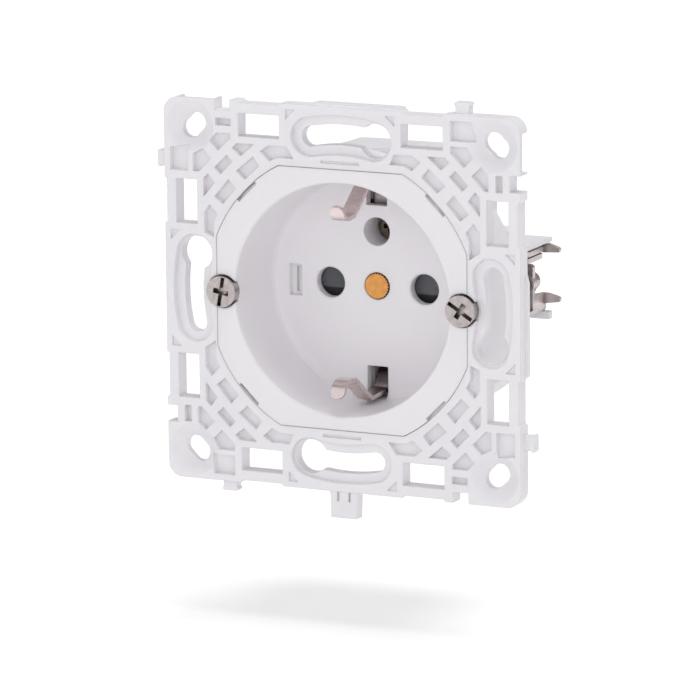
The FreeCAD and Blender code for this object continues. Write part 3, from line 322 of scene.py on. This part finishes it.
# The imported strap, welded and cut off on the rise of each clip
shape = bmesh.new()
shape.from_mesh(nodes["earth_strap"].data)
bmesh.ops.remove_doubles(shape, verts=shape.verts, dist=WELD)
strap_mesh = bpy.data.meshes.new("earth_strap_whole")
shape.to_mesh(strap_mesh)
shape.free()
strap = add_object("earth_strap_whole", strap_mesh)
stubs = []
for sign in (1, -1):
    inner, outer = sign * CLIP_INNER, sign * CLIP_OUTER
    stubs.append(prism([(CLIP_FRONT, inner), (CLIP_CUT, inner), (CLIP_CUT, outer), (CLIP_FRONT, outer)],
                       "x", -CLIP_SIDE, CLIP_SIDE, 1))
strap = merged("earth_strap_cut", [strap], stubs)

# Each cut face drawn forward along the middle line of its tip
shape = bmesh.new()
shape.from_mesh(strap.data)
corners = []
for sign, tip in ((1, UPPER_TIP), (-1, LOWER_TIP)):
    path = [(CLIP_CUT, CLIP_MIDDLE)] + tip
    place, normal = Vector((0, CLIP_CUT, sign * CLIP_MIDDLE)), Vector((0, 0, sign))
    cap = [f for f in shape.faces
           if all(abs(v.co.y * MM_PER_M - CLIP_CUT) < CUT_SLACK and v.co.z * sign > CLIP_INNER * MM
                  for v in f.verts)]
    for i in range(1, len(path)):
        last, ahead = path[i - 1], path[min(i + 1, len(path) - 1)]
        run = Vector((0, ahead[0] - last[0], sign * (ahead[1] - last[1]))).normalized()
        next_place = Vector((0, path[i][0], sign * path[i][1]))
        next_normal = sign * Vector((0, run.z, -run.y))
        grown = bmesh.ops.extrude_face_region(shape, geom=cap)["geom"]
        bmesh.ops.delete(shape, geom=cap, context="FACES_ONLY")
        cap = [g for g in grown if isinstance(g, bmesh.types.BMFace)]
        for vert in {v for f in cap for v in f.verts}:
            high = (vert.co * MM_PER_M - place).dot(normal)
            vert.co = (Vector((vert.co.x * MM_PER_M, 0, 0)) + next_place + next_normal * high) / MM_PER_M
        place, normal = next_place, next_normal
    # what lies outside the half circle at the end of the tip
    wide = STRAP_HALF + TIP_MARGIN
    outline = [(wide, -STRAP_HALF), (wide, TIP_MARGIN), (-wide, TIP_MARGIN), (-wide, -STRAP_HALF)]
    for k in range(TIP_STEPS + 1):
        turn = math.pi * k / TIP_STEPS
        outline.append((-STRAP_HALF * math.cos(turn), STRAP_HALF * (math.sin(turn) - 1)))
    corner = prism(outline, "z", -1, 1, 1)
    for k, vert in enumerate(corner.data.vertices):
        x, u = outline[k % len(outline)]
        face = normal if k >= len(outline) else -normal
        vert.co = (Vector((x, 0, 0)) + place + run * u + face) / MM_PER_M
    face_outwards(corner.data)
    corners.append(corner)
put_in_order(shape.verts, lambda v: tuple(v.co))
put_in_order(shape.edges, lambda e: sorted(v.index for v in e.verts))
put_in_order(shape.faces, lambda f: sorted(v.index for v in f.verts))
bmesh.ops.recalc_face_normals(shape, faces=shape.faces)
shape.to_mesh(strap.data)
shape.free()
strap_form = merged("earth_strap_form", [strap], corners)
strap_form.data.materials.clear()
strap_form.data.materials.append(looks["earth_strap"])
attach(strap_form, "base")
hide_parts("earth_strap")

# Claws with folded arms and outturned prongs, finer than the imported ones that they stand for, in millimetres
SCREW_X = 23.95
IN, OUT, SHEET = 21.95, 25.95, 0.8
FORE, BEND, REAR = 22.2, 29.45, 30.3
CORE = OUT - SHEET
COLLAR_RADIUS, COLLAR_BORE = 2.3, 1.8
for side, hand in (("right", 1), ("left", -1)):
    bars = [
        # web on the screw
        ([(IN, -5.3), (OUT, -5.3), (OUT, 3.3), (OUT - 0.5, 3.7), (IN + 2.4, 3.7), (IN + 2.4, 5.6), (IN, 5.6)],
         "y", 24.2, 25.3),
        # upper arm, a flat plate with a second layer folded under it
        ([(IN, FORE), (OUT - 0.5, FORE), (OUT, FORE + 0.5), (OUT, REAR - 0.3), (OUT - 0.6, REAR - 0.3),
          (IN, REAR - 1.6)], "z", 5.45, 6.4),
        ([(IN, FORE), (OUT - 0.3, FORE), (OUT - 0.3, 28.8), (IN, 28.8)], "z", 5.2, 5.6),
        ([(IN, FORE - 0.1), (OUT, FORE - 0.1), (OUT, 28.6), (OUT - 0.3, 28.9), (IN, 28.9)], "z", 4.25, 5.2),
        # upper prong
        ([(CORE, 5.25), (OUT, 5.2), (28.9, 5.38), (29.03, 5.5), (29.03, 6.0), (28.85, 6.2), (28.3, 6.42),
          (26.7, 6.9), (CORE, 6.55)], "y", BEND, REAR),
        # lower arm, an upright plate with a foot folded inwards
        ([(FORE, -5.6), (BEND, -5.75), (REAR - 0.05, -5.3), (REAR - 0.05, -2.6), (BEND - 0.2, -2.35),
          (24.4, -2.0), (24.2, -4.75), (FORE, -4.85)], "x", CORE, OUT),
        ([(IN, FORE), (OUT, FORE), (OUT, 28.9), (OUT - 0.5, 29.3), (IN, 28.4)], "z", -5.62, -4.85),
        # lower prong
        ([(CORE, -2.4), (26.6, -2.42), (28.4, -2.85), (28.95, -3.08), (29.05, -3.2), (29.05, -3.78),
          (28.9, -3.9), (OUT, -4.35), (CORE, -4.35)], "y", BEND, REAR),
        # threaded collar
        (round_points(SCREW_X, 0, COLLAR_RADIUS), "y", 23.9, 25.7),
    ]
    solids = [prism(points, axis, low, high, hand) for points, axis, low, high in bars]
    hole = prism(round_points(SCREW_X, 0, COLLAR_BORE), "y", 20.0, 30.0, hand)
    claw = merged("claw_form_" + side, solids, [hole])
    claw.data.materials.clear()
    claw.data.materials.append(looks["claw_" + side])
    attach(claw, "claw_%s_body" % side)
    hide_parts("claw_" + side)

# Camera at the photograph's viewpoint, with its place and turn from the fit to the photograph's corners
PHOTO_WIDTH = 700
FOCAL_PIXELS = 5801.4182599
SENSOR_WIDTH = 36.0
position = Vector((0.44450522, -0.93365739, 0.20051961))
right = Vector((0.90368429, 0.42811558, -0.00847083))
up = Vector((-0.07778074, 0.18357195, 0.97992423))
back = Vector((0.42107583, -0.88488327, 0.19919023))
cam_data = bpy.data.cameras.new("camera")
cam_data.sensor_fit = "HORIZONTAL"
cam_data.sensor_width = SENSOR_WIDTH
cam_data.lens = FOCAL_PIXELS / PHOTO_WIDTH * SENSOR_WIDTH
cam_data.clip_start = 0.01
cam_data.clip_end = 20
cam = add_object("camera", cam_data)
turn = Matrix((right, up, back)).transposed()
cam.matrix_world = Matrix.Translation(position) @ turn.to_4x4()
bpy.context.scene.camera = cam

# Pale floor below the part, white to the camera and in reflections, which keeps a soft shadow
FLOOR_Z, FLOOR_HALF = -0.0610, 3
FLOOR_GLOW = 0.335
floor_mesh = bpy.data.meshes.new("floor")
floor_corners = [(x * FLOOR_HALF, y * FLOOR_HALF, FLOOR_Z) for x, y in ((-1, -1), (1, -1), (1, 1), (-1, 1))]
floor_mesh.from_pydata(floor_corners, [], [(0, 1, 2, 3)])
floor = add_object("floor", floor_mesh)
floor_mat, tree, out = new_material("floor")
diffuse = add_node(tree, "ShaderNodeBsdfDiffuse", {"Color": (0.85, 0.85, 0.85, 1)})
ray = add_node(tree, "ShaderNodeLightPath")
either = add_node(tree, "ShaderNodeMath", operation="MAXIMUM",
                  links={0: ray.outputs["Is Camera Ray"], 1: ray.outputs["Is Glossy Ray"]})
strength = add_node(tree, "ShaderNodeMath", {1: FLOOR_GLOW}, {0: either.outputs[0]}, operation="MULTIPLY")
glow = add_node(tree, "ShaderNodeEmission", {"Color": (1, 1, 1, 1)}, {"Strength": strength.outputs[0]})
both = add_node(tree, "ShaderNodeAddShader", links={0: diffuse.outputs[0], 1: glow.outputs[0]})
tree.links.new(both.outputs[0], out.inputs["Surface"])
floor.data.materials.append(floor_mat)

# World: even white studio, and plain white where the camera sees it
world = bpy.data.worlds.new("studio")
world.use_nodes = True
bpy.context.scene.world = world
tree = world.node_tree
tree.nodes.clear()
out = add_node(tree, "ShaderNodeOutputWorld")
ambient = add_node(tree, "ShaderNodeBackground", {"Color": (0.985, 0.98, 1.0, 1), "Strength": 0.46})
seen = add_node(tree, "ShaderNodeBackground", {"Color": (1, 1, 1, 1), "Strength": 1.0})
ray = add_node(tree, "ShaderNodeLightPath")
mix = add_node(tree, "ShaderNodeMixShader",
               links={0: ray.outputs["Is Camera Ray"], 1: ambient.outputs[0], 2: seen.outputs[0]})
tree.links.new(mix.outputs[0], out.inputs["Surface"])

# Three wide lamps aimed at the part, and a soft light from above for the shadow
for name, place, size, watts in (
        ("front", (0.25, -1.2, 0.30), (1.0, 1.0), 2.15),
        ("side", (1.0, -0.95, 0.3), (0.8, 0.9), 1.95),
        ("left", (-0.95, -0.95, 0.5), (0.8, 0.9), 2.35)):
    data = bpy.data.lights.new(name, "AREA")
    data.shape = "RECTANGLE"
    data.size, data.size_y = size
    data.energy = watts
    lamp = add_object(name, data)
    lamp.location = place
    lamp.rotation_euler = (-Vector(place)).to_track_quat("-Z", "Y").to_euler()
sun = bpy.data.lights.new("top", "SUN")
sun.energy = 1.3
sun.angle = math.radians(30)
lamp = add_object("top", sun)
lamp.rotation_euler = (math.radians(-3), math.radians(8), 0)

bpy.context.scene.view_settings.view_transform = "Standard"
